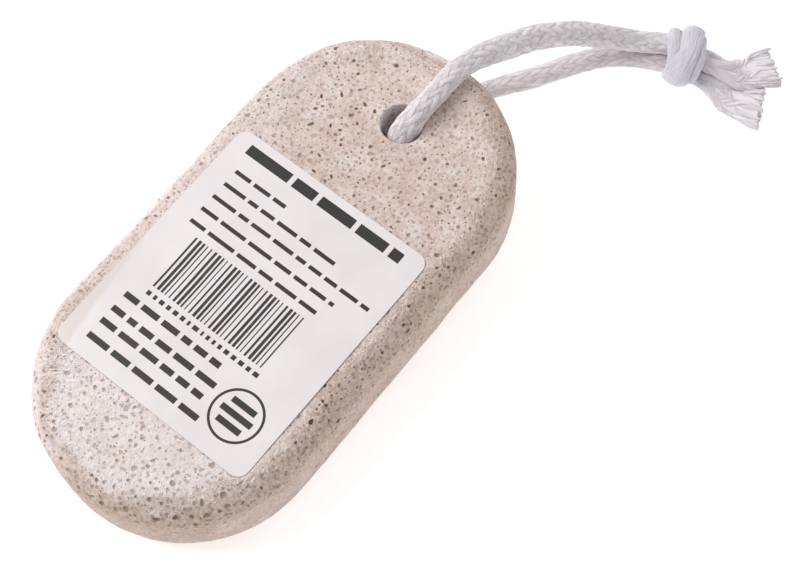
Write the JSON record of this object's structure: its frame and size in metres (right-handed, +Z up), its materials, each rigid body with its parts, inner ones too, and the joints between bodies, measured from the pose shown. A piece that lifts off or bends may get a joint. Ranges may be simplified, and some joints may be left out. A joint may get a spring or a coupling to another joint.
{
  "type": "pumice foot stone on a cord",
  "caption": "Oblong pumice stone for feet with worn edges and open pores, a paper label on top and a knotted cotton cord looped through its end.",
  "frame": {"origin": "on the ground, under the middle of the stone's box", "axes": "+Z up, +Y from the heel of the stone towards its drilled end"},
  "size_m": [0.0745, 0.1559, 0.0269],
  "materials": {
    "pumice": "matte, porous",
    "label_paper": "satin coated",
    "cotton_cord": "braided cotton, matte"
  },
  "bodies": {
    "root": {"pumice_stone": "pumice", "label": "label_paper", "cord_loop": "cotton_cord", "cord_knot": "cotton_cord", "cord_tail_upper": "cotton_cord", "cord_tail_lower": "cotton_cord"}
  },
  "joints": []
}
